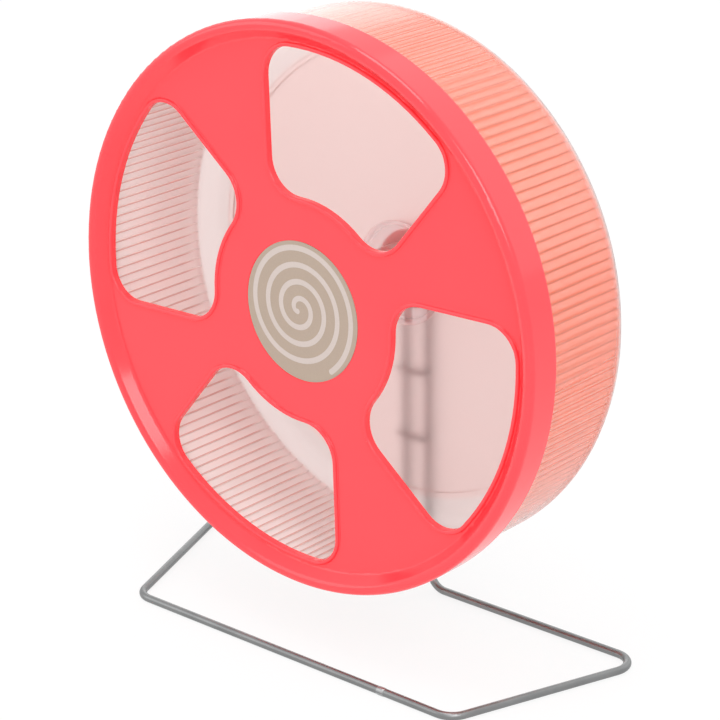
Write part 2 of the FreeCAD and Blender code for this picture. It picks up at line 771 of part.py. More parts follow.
# Stand: one wire from the weld on the front rail round the floor and up to the hairpin, mirrored
def make_stand():
    front_y = (nose_y - S.front_rail_reach).value
    back_y = (nose_y + upright_plane).value
    wire, x = S.wire_radius.value, upright_x.value
    bow_z = (axle_height + S.hairpin_rise).value
    edges = bent_path(
        [Vector(0, front_y, wire), Vector(S.front_half_width.value, front_y, wire),
         Vector(S.back_half_width.value, back_y, wire), Vector(x, back_y, wire),
         Vector(x, back_y, bow_z)],
        [S.corner_bend.value, S.corner_bend.value, S.foot_bend.value])
    lean = math.sqrt(0.5) * x
    edges.append(Part.Arc(Vector(x, back_y, bow_z), Vector(lean, back_y, bow_z + lean),
                          Vector(0, back_y, bow_z + x)).toShape())
    path = doc.addObject("Part::Feature", "half_path")
    path.Shape = Part.Wire(edges)
    section = doc.addObject("Part::Circle", "wire_section")
    bind(section, "Radius", S.wire_radius)
    bind(section, "Placement.Base.y", nose_y - S.front_rail_reach)
    bind(section, "Placement.Base.z", S.wire_radius)
    section.Placement = Placement(section.Placement.Base, Rotation(Vector(0, 1, 0), 90))
    half = doc.addObject("Part::Sweep", "half_wire")
    half.Sections = [section]
    half.Spine = (path, [f"Edge{i}" for i in range(1, len(edges) + 1)])
    half.Solid = True
    other = doc.addObject("Part::Mirroring", "other_half")
    other.Source = half
    other.Normal = Vector(1, 0, 0)
    whole = doc.addObject("Part::Fuse", "whole_wire")
    whole.Base = half
    whole.Tool = other
    whole.Refine = True
    keep(whole, "stand_wire")

    length = S.upright_spacing + S.wire_radius * 2 + S.cross_wire_overhang * 2
    standoff = S.wire_radius + S.cross_wire_radius + S.weld_gap
    for side, drop in (("upper", S.upper_cross_drop), ("lower", S.lower_cross_drop)):
        rung = doc.addObject("Part::Cylinder", f"{side}_rung")
        bind(rung, "Radius", S.cross_wire_radius)
        bind(rung, "Height", length)
        bind(rung, "Placement.Base.x", -length / 2)
        bind(rung, "Placement.Base.y", nose_y + upright_plane - standoff)
        bind(rung, "Placement.Base.z", axle_height - drop)
        rung.Placement = Placement(rung.Placement.Base, Rotation(Vector(0, 1, 0), 90))
        keep(rung, f"{side}_cross_wire")


def write_parts():
    """Recompute, check every object and write one file per piece."""
    doc.recompute()
    failed = [o.Name for o in doc.Objects if "Invalid" in o.State or "Error" in o.State]
    if failed:
        raise RuntimeError("failed objects: " + ", ".join(failed))
    for node in NODES:
        if node.Shape.isNull() or not node.Shape.isValid():
            raise RuntimeError("bad shape: " + node.Label)
    os.makedirs("parts", exist_ok=True)
    for node in NODES:
        node.Shape.exportStep(f"parts/{node.Label}.step")
        print(f"{node.Label}: {len(node.Shape.Solids)} solids, {node.Shape.Volume:.0f} mm3")


make_front_cover()
make_drum()
make_bearing("front", front_bearing)
make_bearing("rear", rear_bearing)
make_axle()
make_plug_and_label()
make_axle_block()
make_clamp_screws()
make_stand()
write_parts()
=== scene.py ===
"""Rodent exercise wheel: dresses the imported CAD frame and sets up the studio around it.

Every length is in metres and every place is in the CAD frame: the axle runs along Y, the
windowed face looks towards -Y, +Z is up and the floor is at zero. A field whose name ends
in _mm is in millimetres, the unit in which the finishes draw their patterns.
"""
import json
import logging
import math
from dataclasses import dataclass
from enum import Enum
from typing import Dict, Iterable, List, Optional, Sequence, Tuple, Union

import bmesh
import bpy
from mathutils import Matrix, Vector


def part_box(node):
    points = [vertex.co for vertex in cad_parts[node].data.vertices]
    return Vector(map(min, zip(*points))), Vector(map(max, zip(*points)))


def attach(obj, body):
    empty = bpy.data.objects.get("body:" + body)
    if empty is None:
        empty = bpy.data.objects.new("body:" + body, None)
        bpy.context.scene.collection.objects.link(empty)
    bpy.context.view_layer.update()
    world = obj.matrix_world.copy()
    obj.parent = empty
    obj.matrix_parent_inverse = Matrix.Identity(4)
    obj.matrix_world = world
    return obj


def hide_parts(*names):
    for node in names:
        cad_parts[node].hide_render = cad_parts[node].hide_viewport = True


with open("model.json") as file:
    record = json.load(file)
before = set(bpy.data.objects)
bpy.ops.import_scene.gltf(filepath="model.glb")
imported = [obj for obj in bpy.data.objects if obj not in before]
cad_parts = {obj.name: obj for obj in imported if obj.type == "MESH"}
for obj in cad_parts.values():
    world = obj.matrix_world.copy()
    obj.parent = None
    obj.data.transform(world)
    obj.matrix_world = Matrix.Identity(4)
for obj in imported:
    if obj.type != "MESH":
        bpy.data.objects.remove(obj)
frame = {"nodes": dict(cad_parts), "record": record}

LOG = logging.getLogger("exercise_wheel")
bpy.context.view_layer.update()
MM = 0.001
WHITE = (1.0, 1.0, 1.0, 1.0)
# Times this, a place loses its depth along the axle.
ACROSS_AXLE = (1.0, 0.0, 1.0)
# A face looks along a direction when this much of its normal does.
FACING = 0.9
# Points of a mesh that lie nearer than this to a cutting plane count as on it.
ON_PLANE = 0.001 * MM
# Edges that turn by more than this stay sharp.
SHARP_ANGLE = math.radians(35)

Point = Tuple[float, float, float]
Input = Union[bpy.types.NodeSocket, float, Sequence[float]]


class Body(Enum):
    """Bodies of the frame, each with the pieces that move as one."""

    STAND = "stand"
    WHEEL = "wheel"
    BALL_SETS = "ball_sets"


class Cut(Enum):
    """What a tool leaves of the piece that it is worked into."""

    AWAY_FROM_TOOL = "DIFFERENCE"
    WITHIN_TOOL = "INTERSECT"


class Zone(Enum):
    """Zones of the drum, told apart by angle, depth and radius."""

    RIB = "on a cross rib"
    RIB_LINE = "where the inner side shows the ribs as lines"
    SKIN = "on the ribbed wall, up to the shoulder"
    OUTSIDE = "on the outer side of the wall"
    PAST_STEP = "outside the step of the back wall"
    CUP = "in the cup round the hub"


def linear(hex_colour: str) -> Tuple[float, float, float, float]:
    """Turn an sRGB hex colour into linear red, green, blue and alpha.

    Args:
        hex_colour: Six hex digits, with or without a leading hash.

    Returns:
        The linear colour with an alpha of one.
    """
    digits = hex_colour.lstrip("#")
    shares = [int(digits[i:i + 2], 16) / 255 for i in (0, 2, 4)]
    red, green, blue = (s / 12.92 if s <= 0.04045 else ((s + 0.055) / 1.055) ** 2.4 for s in shares)
    return red, green, blue, 1.0


def add(tree: bpy.types.NodeTree, kind: str, links: Optional[Dict[Union[str, int], Input]] = None,
        **settings: object) -> bpy.types.Node:
    """Add one node with its settings, socket values and links.

    Args:
        tree: Node tree that gets the node.
        kind: Blender's type name of the node.
        links: For each input, the socket to link to it or the value to set on it.
        settings: Properties of the node itself.

    Returns:
        The new node.
    """
    node = tree.nodes.new(kind)
    for name, value in settings.items():
        setattr(node, name, value)
    for name, source in (links or {}).items():
        if isinstance(source, bpy.types.NodeSocket):
            tree.links.new(source, node.inputs[name])
        else:
            node.inputs[name].default_value = source
    return node


@dataclass(frozen=True)
class Finish:
    """A finish of the wheel: what the surface is made of and how it was made."""

    name: str
    axle: Point

    def material(self) -> bpy.types.Material:
        """Make the material, with its node tree cleared and filled by paint().

        Returns:
            The finished material.
        """
        made = bpy.data.materials.new(self.name)
        made.use_nodes = True
        made.node_tree.nodes.clear()
        shader = self.paint(made.node_tree)
        add(made.node_tree, "ShaderNodeOutputMaterial", {"Surface": shader.outputs[0]})
        return made

    def paint(self, tree: bpy.types.NodeTree) -> bpy.types.Node:
        """Fill the node tree; each finish has its own way.

        Args:
            tree: The material's empty node tree.

        Returns:
            The node whose first output is the surface.
        """
        raise NotImplementedError

    def place(self, tree: bpy.types.NodeTree) -> bpy.types.NodeSocket:
        """Object coordinates in millimetres, counted from the axle.

        Args:
            tree: The material's node tree.

        Returns:
            The vector socket.
        """
        where = add(tree, "ShaderNodeTexCoord").outputs["Object"]
        moved = [-c / MM for c in self.axle]
        return add(tree, "ShaderNodeMapping", {
            "Vector": where, "Location": moved, "Scale": [1 / MM] * 3}).outputs[0]


@dataclass(frozen=True)
class MouldedAbs(Finish):
    """Glossy moulded ABS: even deep colour, a soft sheen and the slow waves of a cooled wall."""

    colour: str = "#FF4149"
    shade: str = "#FA3C45"
    wave_mm: float = 42.0
    wave_height_mm: float = 0.8
    wave_strength: float = 0.25
    grain_mm: float = 6.0
    rough_low: float = 0.11
    rough_high: float = 0.16
    ior: float = 1.53

    def paint(self, tree: bpy.types.NodeTree) -> bpy.types.Node:
        """Colour drifts slightly with the flow of the melt; slow waves bend the sheen.

        Args:
            tree: The material's empty node tree.

        Returns:
            The shader node.
        """
        place = self.place(tree)
        flow = add(tree, "ShaderNodeTexNoise", {
            "Vector": place, "Scale": 1 / self.wave_mm, "Detail": 1.0, "Roughness": 0.4})
        grain = add(tree, "ShaderNodeTexNoise", {
            "Vector": place, "Scale": 1 / self.grain_mm, "Detail": 2.0})
        tint = add(tree, "ShaderNodeMix", {
            "Factor": flow.outputs["Fac"], "A": linear(self.colour), "B": linear(self.shade)},
            data_type="RGBA")
        rough = add(tree, "ShaderNodeMapRange", {
            "Value": grain.outputs["Fac"], "To Min": self.rough_low, "To Max": self.rough_high})
        waves = add(tree, "ShaderNodeBump", {
            "Height": flow.outputs["Fac"], "Strength": self.wave_strength,
            "Distance": self.wave_height_mm * MM})
        return add(tree, "ShaderNodeBsdfPrincipled", {
            "Base Color": tint.outputs[2], "Roughness": rough.outputs[0], "IOR": self.ior,
            "Normal": waves.outputs[0]})


@dataclass(frozen=True)
class ClearStyrene(Finish):
    """Moulded see-through polystyrene, dyed pink.

    The back wall blurs what is behind it, the ribbed wall is milky inside and glossy outside,
    and the dye is deeper where the ribs make the wall thicker.
    """

    outer_wall: str = "#FF6427"
    outer_rib: str = "#C9562F"
    inner_wall: str = "#FFFCF9"
    inner_rib: str = "#E6C0B9"
    shoulder: str = "#F0DEDB"
    back_wall: str = "#F4D7D3"
    # Alpha of the dyed outer side, of its ribs and of the cup; the rest is whole.
    wall_cover: float = 0.53
    rib_cover: float = 0.82
    cup_cover: float = 0.52
    # Transmission of the back wall, of the ribbed wall's inner side and of the cup.
    clear: float = 0.98
    skin_clear: float = 0.32
    cup_clear: float = 0.4
    # Roughness of the hazy walls and of the dyed outer side, which is coated as well.
    haze: float = 0.46
    gloss: float = 0.2
    coat: float = 0.7
    coat_roughness: float = 0.12
    ior: float = 1.38
    # The ribs: the soft share of their half width, and how early their inner lines fade.
    rib_count: int = 180
    rib_half_mm: float = 0.42
    rib_edge: float = 0.3
    rib_end_mm: float = 28.75
    line_short_mm: float = 3.0
    line_fade_mm: float = 12.0
    # The other zones: where they meet, and how softly.
    skin_past_mm: float = 2.0
    skin_fade_mm: float = 5.0
    wall_middle_mm: float = 134.6
    wall_edge_mm: float = 0.3
    step_mm: float = 116.0
    step_before_mm: float = 1.0
    step_after_mm: float = 3.0
    cup_mm: float = 27.0
    cup_edge_mm: float = 1.0
    # The slow ripple of the moulded wall.
    ripple_mm: float = 18.0
    ripple_height_mm: float = 0.4
    ripple_strength: float = 0.15

    def paint(self, tree: bpy.types.NodeTree) -> bpy.types.Node:
        """Tint each zone of the drum, and set how far it is seen through and how hazily.

        Args:
            tree: The material's empty node tree.

        Returns:
            The shader node.
        """
        place = self.place(tree)
        zones = self.zones(tree, place)
        dyed = add(tree, "ShaderNodeMath", {0: zones[Zone.OUTSIDE], 1: zones[Zone.SKIN]},
                   operation="MULTIPLY").outputs[0]
        cover, veil, milky = (
            add(tree, "ShaderNodeMapRange", {"Value": zones[zone], "To Min": low, "To Max": high})
            for zone, low, high in ((Zone.RIB, self.wall_cover, self.rib_cover),
                                    (Zone.CUP, 1.0, self.cup_cover),
                                    (Zone.SKIN, self.clear, self.skin_clear)))
        behind = add(tree, "ShaderNodeMapRange", {
            "Value": zones[Zone.CUP], "To Min": milky.outputs[0], "To Max": self.cup_clear})
        see, clear, rough, coat = (
            add(tree, "ShaderNodeMapRange", {"Value": dyed, "To Min": plain, "To Max": full}).outputs[0]
            for plain, full in ((veil.outputs[0], cover.outputs[0]), (behind.outputs[0], 0.0),
                                (self.haze, self.gloss), (0.0, self.coat)))
        ripple = add(tree, "ShaderNodeTexNoise", {
            "Vector": place, "Scale": 1 / self.ripple_mm, "Detail": 1.0})
        bump = add(tree, "ShaderNodeBump", {
            "Height": ripple.outputs["Fac"], "Strength": self.ripple_strength,
            "Distance": self.ripple_height_mm * MM})
        return add(tree, "ShaderNodeBsdfPrincipled", {
            "Base Color": self.tint(tree, zones), "Alpha": see, "Transmission Weight": clear,
            "Roughness": rough, "IOR": self.ior, "Coat Weight": coat,
            "Coat Roughness": self.coat_roughness, "Normal": bump.outputs[0]})

    def zones(self, tree: bpy.types.NodeTree,
              place: bpy.types.NodeSocket) -> Dict[Zone, bpy.types.NodeSocket]:
        """Tell the drum's zones apart, each with a soft edge.

        Args:
            tree: The material's node tree.
            place: Place in millimetres, counted from the axle.

        Returns:
            For each zone, a share that goes from zero outside it to one within.
        """
        part = add(tree, "ShaderNodeSeparateXYZ", {"Vector": place})
        depth = part.outputs["Y"]
        flat = add(tree, "ShaderNodeVectorMath", {0: place, 1: ACROSS_AXLE}, operation="MULTIPLY")
        length = add(tree, "ShaderNodeVectorMath", {0: flat.outputs[0]}, operation="LENGTH")
        radius = length.outputs["Value"]
        angle = add(tree, "ShaderNodeMath", {0: part.outputs["X"], 1: part.outputs["Z"]},
                    operation="ARCTAN2")
        turn = add(tree, "ShaderNodeMath", {0: angle.outputs[0], 1: self.rib_count / math.tau},
                   operation="MULTIPLY")
        beside = add(tree, "ShaderNodeMath", {0: turn.outputs[0], 1: 0.5}, operation="PINGPONG")
        half = self.rib_half_mm * self.rib_count / (math.tau * self.wall_middle_mm)
        line_end = self.rib_end_mm - self.line_short_mm
        edges = {
            Zone.RIB: (beside.outputs[0], half * (1 + self.rib_edge), half * (1 - self.rib_edge)),
            Zone.RIB_LINE: (depth, line_end, line_end - self.line_fade_mm),
            Zone.SKIN: (depth, self.rib_end_mm + self.skin_past_mm,
                        self.rib_end_mm - self.skin_fade_mm),
            Zone.OUTSIDE: (radius, self.wall_middle_mm - self.wall_edge_mm,
                           self.wall_middle_mm + self.wall_edge_mm),
            Zone.PAST_STEP: (radius, self.step_mm - self.step_before_mm,
                             self.step_mm + self.step_after_mm),
            Zone.CUP: (radius, self.cup_mm, self.cup_mm - self.cup_edge_mm)}
        return {zone: add(tree, "ShaderNodeMapRange", {
            "Value": value, "From Min": outside, "From Max": within},
            interpolation_type="SMOOTHSTEP").outputs[0]
            for zone, (value, outside, within) in edges.items()}

    def tint(self, tree: bpy.types.NodeTree,
             zones: Dict[Zone, bpy.types.NodeSocket]) -> bpy.types.NodeSocket:
        """Colour the wall's two sides with their ribs, the shoulder and the back wall.

        Args:
            tree: The material's node tree.
            zones: The share of each zone.

        Returns:
            The colour socket.
        """
        line = add(tree, "ShaderNodeMath", {0: zones[Zone.RIB], 1: zones[Zone.RIB_LINE]},
                   operation="MULTIPLY").outputs[0]
        sides = []
        for share, wall, rib in ((line, self.inner_wall, self.inner_rib),
                                 (zones[Zone.RIB], self.outer_wall, self.outer_rib)):
            ribbed = add(tree, "ShaderNodeMix", {
                "Factor": share, "A": linear(wall), "B": linear(rib)}, data_type="RGBA")
            sides.append(add(tree, "ShaderNodeMix", {
                "Factor": zones[Zone.SKIN], "A": linear(self.shoulder), "B": ribbed.outputs[2]},
                data_type="RGBA"))
        inner, outer = sides
        wall = add(tree, "ShaderNodeMix", {
            "Factor": zones[Zone.OUTSIDE], "A": inner.outputs[2], "B": outer.outputs[2]},
            data_type="RGBA")
        return add(tree, "ShaderNodeMix", {
            "Factor": zones[Zone.PAST_STEP], "A": linear(self.back_wall), "B": wall.outputs[2]},
            data_type="RGBA").outputs[2]


@dataclass(frozen=True)
class PrintedFilm(Finish):
    """Matt label film, taupe, with a plain printed spiral in a paler ink."""

    ground: str = "#A99787"
    ink: str = "#C3B6AF"
    # The spiral's middle, across and up from the axle; its radius grows from start by the pitch.
    middle_mm: Tuple[float, float] = (-1.71, 1.10)
    start_mm: float = -1.094
    pitch_mm: float = 8.315
    line_mm: float = 2.75
    first_turn: float = 0.35
    last_turn: float = 4.15
    # The film's real grain is finer than a render shows, so it is drawn this coarse.
    grain_mm: float = 0.7
    grain_height_mm: float = 0.05
    grain_strength: float = 0.06
    grain_dark: float = 0.94
    grain_pale: float = 1.04
    roughness: float = 0.42
    ior: float = 1.5

    def paint(self, tree: bpy.types.NodeTree) -> bpy.types.Node:
        """Print the spiral line with its round ends on the film.

        Args:
            tree: The material's empty node tree.

        Returns:
            The shader node.
        """
        place = self.place(tree)
        about = add(tree, "ShaderNodeVectorMath", {
            0: place, 1: (self.middle_mm[0], 0.0, self.middle_mm[1])}, operation="SUBTRACT")
        flat = add(tree, "ShaderNodeVectorMath", {0: about.outputs[0], 1: ACROSS_AXLE},
                   operation="MULTIPLY").outputs[0]
        printed = self.spiral(tree, flat)
        for turn in (self.first_turn, self.last_turn):
            printed = add(tree, "ShaderNodeMath", {0: printed, 1: self.end(tree, flat, turn)},
                          operation="MAXIMUM").outputs[0]
        return self.film(tree, place, printed)

    def spiral(self, tree: bpy.types.NodeTree, flat: bpy.types.NodeSocket) -> bpy.types.NodeSocket:
        """Draw the spiral line from radius and angle about its middle.

        Args:
            tree: The material's node tree.
            flat: Place in millimetres about the spiral's middle.

        Returns:
            One on the line and zero beside it or past its ends.
        """
        radius = add(tree, "ShaderNodeVectorMath", {0: flat}, operation="LENGTH")
        part = add(tree, "ShaderNodeSeparateXYZ", {"Vector": flat})
        angle = add(tree, "ShaderNodeMath", {0: part.outputs["Z"], 1: part.outputs["X"]},
                    operation="ARCTAN2")
        turns = add(tree, "ShaderNodeMath", {0: angle.outputs[0], 1: math.tau}, operation="DIVIDE")
        steps = add(tree, "ShaderNodeMath", {0: radius.outputs["Value"], 1: self.start_mm},
                    operation="SUBTRACT")
        reach = add(tree, "ShaderNodeMath", {0: steps.outputs[0], 1: self.pitch_mm},
                    operation="DIVIDE")
        phase = add(tree, "ShaderNodeMath", {0: reach.outputs[0], 1: turns.outputs[0]},
                    operation="ADD")
        nearest = add(tree, "ShaderNodeMath", {0: phase.outputs[0]}, operation="ROUND")
        along = add(tree, "ShaderNodeMath", {0: nearest.outputs[0], 1: turns.outputs[0]},
                    operation="SUBTRACT")
        beside = add(tree, "ShaderNodeMath", {0: phase.outputs[0], 1: 0.5}, operation="PINGPONG")
        after, before, thin = (
            add(tree, "ShaderNodeMath", {0: value.outputs[0], 1: limit}, operation=test)
            for value, limit, test in ((along, self.first_turn, "GREATER_THAN"),
                                       (along, self.last_turn, "LESS_THAN"),
                                       (beside, self.line_mm / self.pitch_mm / 2, "LESS_THAN")))
        within = add(tree, "ShaderNodeMath", {0: after.outputs[0], 1: before.outputs[0]},
                     operation="MULTIPLY")
        return add(tree, "ShaderNodeMath", {0: within.outputs[0], 1: thin.outputs[0]},
                   operation="MULTIPLY").outputs[0]

    def end(self, tree: bpy.types.NodeTree, flat: bpy.types.NodeSocket,
            turn: float) -> bpy.types.NodeSocket:
        """Round end of the spiral line.

        Args:
            tree: The material's node tree.
            flat: Place in millimetres about the spiral's middle.
            turn: Where along the spiral the line ends, in turns.

        Returns:
            One inside the round end and zero outside.
        """
        reach = self.start_mm + self.pitch_mm * turn
        tip = (reach * math.cos(math.tau * turn), 0.0, -reach * math.sin(math.tau * turn))
        gap = add(tree, "ShaderNodeVectorMath", {0: flat, 1: tip}, operation="DISTANCE")
        return add(tree, "ShaderNodeMath", {0: gap.outputs["Value"], 1: self.line_mm / 2},
                   operation="LESS_THAN").outputs[0]

    def film(self, tree: bpy.types.NodeTree, place: bpy.types.NodeSocket,
             printed: bpy.types.NodeSocket) -> bpy.types.Node:
        """Put the ink on the film and give both the film's fine grain.

        Args:
            tree: The material's node tree.
            place: Place in millimetres.
            printed: One where there is ink.

        Returns:
            The shader node.
        """
        grain = add(tree, "ShaderNodeTexNoise", {
            "Vector": place, "Scale": 1 / self.grain_mm, "Detail": 3.0})
        shade = add(tree, "ShaderNodeMapRange", {
            "Value": grain.outputs["Fac"], "To Min": self.grain_dark, "To Max": self.grain_pale})
        colour = add(tree, "ShaderNodeMix", {
            "Factor": printed, "A": linear(self.ground), "B": linear(self.ink)}, data_type="RGBA")
        worn = add(tree, "ShaderNodeVectorMath", {0: colour.outputs[2], "Scale": shade.outputs[0]},
                   operation="SCALE")
        bump = add(tree, "ShaderNodeBump", {
            "Height": grain.outputs["Fac"], "Strength": self.grain_strength,
            "Distance": self.grain_height_mm * MM})
        return add(tree, "ShaderNodeBsdfPrincipled", {
            "Base Color": worn.outputs[0], "Roughness": self.roughness, "IOR": self.ior,
            "Normal": bump.outputs[0]})


@dataclass(frozen=True)
class PlatedWire(Finish):
    """Drawn steel wire with a grey plating: soft streaks of light, and a grey that drifts along it."""

    colour: str = "#929393"
    shade: str = "#7A7B7C"
    drift_mm: float = 14.0
    # The plating's real grit is finer than a render shows, so it is drawn this coarse.
    grit_mm: float = 0.8
    grit_height_mm: float = 0.06
    grit_strength: float = 0.12
    rough_low: float = 0.34
    rough_high: float = 0.44

    def paint(self, tree: bpy.types.NodeTree) -> bpy.types.Node:
        """Grey metal that varies along the wire, with a fine grit in the plating.

        Args:
            tree: The material's empty node tree.

        Returns:
            The shader node.
        """
        place = self.place(tree)
        drift = add(tree, "ShaderNodeTexNoise", {
            "Vector": place, "Scale": 1 / self.drift_mm, "Detail": 3.0})
        grit = add(tree, "ShaderNodeTexNoise", {
            "Vector": place, "Scale": 1 / self.grit_mm, "Detail": 2.0})
        tint = add(tree, "ShaderNodeMix", {
            "Factor": drift.outputs["Fac"], "A": linear(self.colour), "B": linear(self.shade)},
            data_type="RGBA")
        rough = add(tree, "ShaderNodeMapRange", {
            "Value": grit.outputs["Fac"], "To Min": self.rough_low, "To Max": self.rough_high})
        bump = add(tree, "ShaderNodeBump", {
            "Height": grit.outputs["Fac"], "Strength": self.grit_strength,
            "Distance": self.grit_height_mm * MM})
        return add(tree, "ShaderNodeBsdfPrincipled", {
            "Base Color": tint.outputs[2], "Metallic": 1.0, "Roughness": rough.outputs[0],
            "Normal": bump.outputs[0]})


@dataclass(frozen=True)
class GroundWeld(PlatedWire):
    """Weld bead ground almost flush: the bare steel is paler than the plating beside it."""

    colour: str = "#B6B7B7"
    shade: str = "#9C9D9E"


@dataclass(frozen=True)
class PlatedSteel(Finish):
    """Zinc-plated steel: bright and mirror-like, with the fine marks of its last working."""

    colour: str = "#B9BBBE"
    rough_low: float = 0.18
    rough_high: float = 0.34
    # The real marks are finer than a render shows, so they are drawn this coarse.
    mark_mm: float = 0.9
    mark_height_mm: float = 0.03
    mark_strength: float = 0.08

    def paint(self, tree: bpy.types.NodeTree) -> bpy.types.Node:
        """Even metal whose gloss changes with the working marks.

        Args:
            tree: The material's empty node tree.

        Returns:
            The shader node.
        """
        marks = add(tree, "ShaderNodeTexNoise", {
            "Vector": self.place(tree), "Scale": 1 / self.mark_mm, "Detail": 4.0})
        rough = add(tree, "ShaderNodeMapRange", {
            "Value": marks.outputs["Fac"], "To Min": self.rough_low, "To Max": self.rough_high})
        bump = add(tree, "ShaderNodeBump", {
            "Height": marks.outputs["Fac"], "Strength": self.mark_strength,
            "Distance": self.mark_height_mm * MM})
        return add(tree, "ShaderNodeBsdfPrincipled", {
            "Base Color": linear(self.colour), "Metallic": 1.0, "Roughness": rough.outputs[0],
            "Normal": bump.outputs[0]})


@dataclass(frozen=True)
class PolishedRing(PlatedSteel):
    """Ground and polished steel of a bearing ring: clear mirror images."""

    rough_low: float = 0.06
    rough_high: float = 0.14


@dataclass(frozen=True)
class PolishedBall(PlatedSteel):
    """Lapped steel of the bearing balls: the clearest mirror of all."""

    rough_low: float = 0.04
    rough_high: float = 0.1


@dataclass(frozen=True)
class MouldedNylon(Finish):
    """Moulded natural nylon: creamy and satin, with a slight mottle."""

    colour: str = "#DDD6C4"
    shade: str = "#D2C9B4"
    mottle_mm: float = 2.0
    roughness: float = 0.45
    ior: float = 1.53

    def paint(self, tree: bpy.types.NodeTree) -> bpy.types.Node:
        """Creamy colour with a fine mottle.

        Args:
            tree: The material's empty node tree.

        Returns:
            The shader node.
        """
        mottle = add(tree, "ShaderNodeTexNoise", {
            "Vector": self.place(tree), "Scale": 1 / self.mottle_mm, "Detail": 2.0})
        tint = add(tree, "ShaderNodeMix", {
            "Factor": mottle.outputs["Fac"], "A": linear(self.colour), "B": linear(self.shade)},
            data_type="RGBA")
        return add(tree, "ShaderNodeBsdfPrincipled", {
            "Base Color": tint.outputs[2], "Roughness": self.roughness, "IOR": self.ior})


class Bench:
    """The few modelling moves that the new pieces share."""

    @staticmethod
    def clear() -> None:
        """Leave nothing selected, in object mode."""
        if bpy.context.object and bpy.context.object.mode != "OBJECT":
            bpy.ops.object.mode_set(mode="OBJECT")
        bpy.ops.object.select_all(action="DESELECT")

    @staticmethod
    def pick(piece: bpy.types.Object, direction: Point) -> None:
        """Select the faces that look one way, with the piece in edit mode.

        Args:
            piece: The object in edit mode.
            direction: The way they look, along the piece's own axes.
        """
        bpy.ops.mesh.select_mode(type="FACE")
        mesh = bmesh.from_edit_mesh(piece.data)
        for face in mesh.faces:
            face.select_set(face.normal.dot(Vector(direction)) > FACING)
        mesh.select_flush_mode()
        bmesh.update_edit_mesh(piece.data)

    @staticmethod
    def bevel_end(piece: bpy.types.Object, size: float, steps: int) -> None:
        """Bevel the edge of the end face that looks along a piece's own +Z.

        Args:
            piece: The active object, in object mode.
            size: How far the bevel reaches.
            steps: Its number of faces from side to end.
        """
        bpy.ops.object.mode_set(mode="EDIT")
        Bench.pick(piece, (0.0, 0.0, 1.0))
        bpy.ops.mesh.bevel(offset=size, segments=steps, affect="EDGES")
        bpy.ops.object.mode_set(mode="OBJECT")

    @staticmethod
    def cut(piece: bpy.types.Object, tool: bpy.types.Object, kept: Cut) -> None:
        """Work a tool's shape into a piece and remove the tool.

        Args:
            piece: The object that is shaped.
            tool: The object that shapes it.
            kept: What is left of the piece.
        """
        Bench.clear()
        bpy.context.view_layer.objects.active = piece
        piece.select_set(True)
        modifier = piece.modifiers.new("cut", "BOOLEAN")
        modifier.operation = kept.value
        modifier.object = tool
        bpy.ops.object.modifier_apply(modifier=modifier.name)
        Bench.clear()
        tool.select_set(True)
        bpy.ops.object.delete()

    @staticmethod
    def join(name: str, parts: List[bpy.types.Object]) -> bpy.types.Object:
        """Join parts into one piece at the origin, with smooth shading up to sharp edges.

        Args:
            name: Name of the joined piece.
            parts: The objects to join; the first one stays.

        Returns:
            The joined piece.
        """
        Bench.clear()
        for part in parts:
            part.select_set(True)
        bpy.context.view_layer.objects.active = parts[0]
        if len(parts) > 1:
            bpy.ops.object.join()
        bpy.ops.object.transform_apply(location=True, rotation=True, scale=True)
        bpy.ops.object.shade_smooth_by_angle(angle=SHARP_ANGLE)
        parts[0].name = name
        parts[0].data.name = name
        return parts[0]


@dataclass
class Wheel:
    """The turning wheel: cover, drum, label, plug and the outer rings of its bearings."""

    axle: Point
    body: Body = Body.WHEEL
    coral_nodes: Tuple[str, ...] = ("front_cover", "hub_plug")
    ring_nodes: Tuple[str, ...] = ("front_bearing_outer_ring", "rear_bearing_outer_ring")

    def dress(self) -> None:
        """Give the wheel's CAD nodes their finishes."""
        coral = MouldedAbs("coral_moulded_abs", self.axle).material()
        for node in self.coral_nodes:
            paint(node, coral, self.body)
        paint("drum", ClearStyrene("clear_pink_polystyrene", self.axle).material(), self.body)
        paint("spiral_label", PrintedFilm("printed_label_film", self.axle).material(), self.body)
        polished = PolishedRing("polished_outer_ring_steel", self.axle).material()
        for node in self.ring_nodes:
            paint(node, polished, self.body)


@dataclass
class BallSets:
    """Balls and cages of both bearings."""

    axle: Point
    body: Body = Body.BALL_SETS

    def dress(self) -> None:
        """Give the balls and cages their finishes."""
        polished = PolishedBall("polished_ball_steel", self.axle).material()
        nylon = MouldedNylon("natural_nylon", self.axle).material()
        for side in ("front", "rear"):
            paint(f"{side}_bearing_balls", polished, self.body)
            paint(f"{side}_bearing_cage", nylon, self.body)


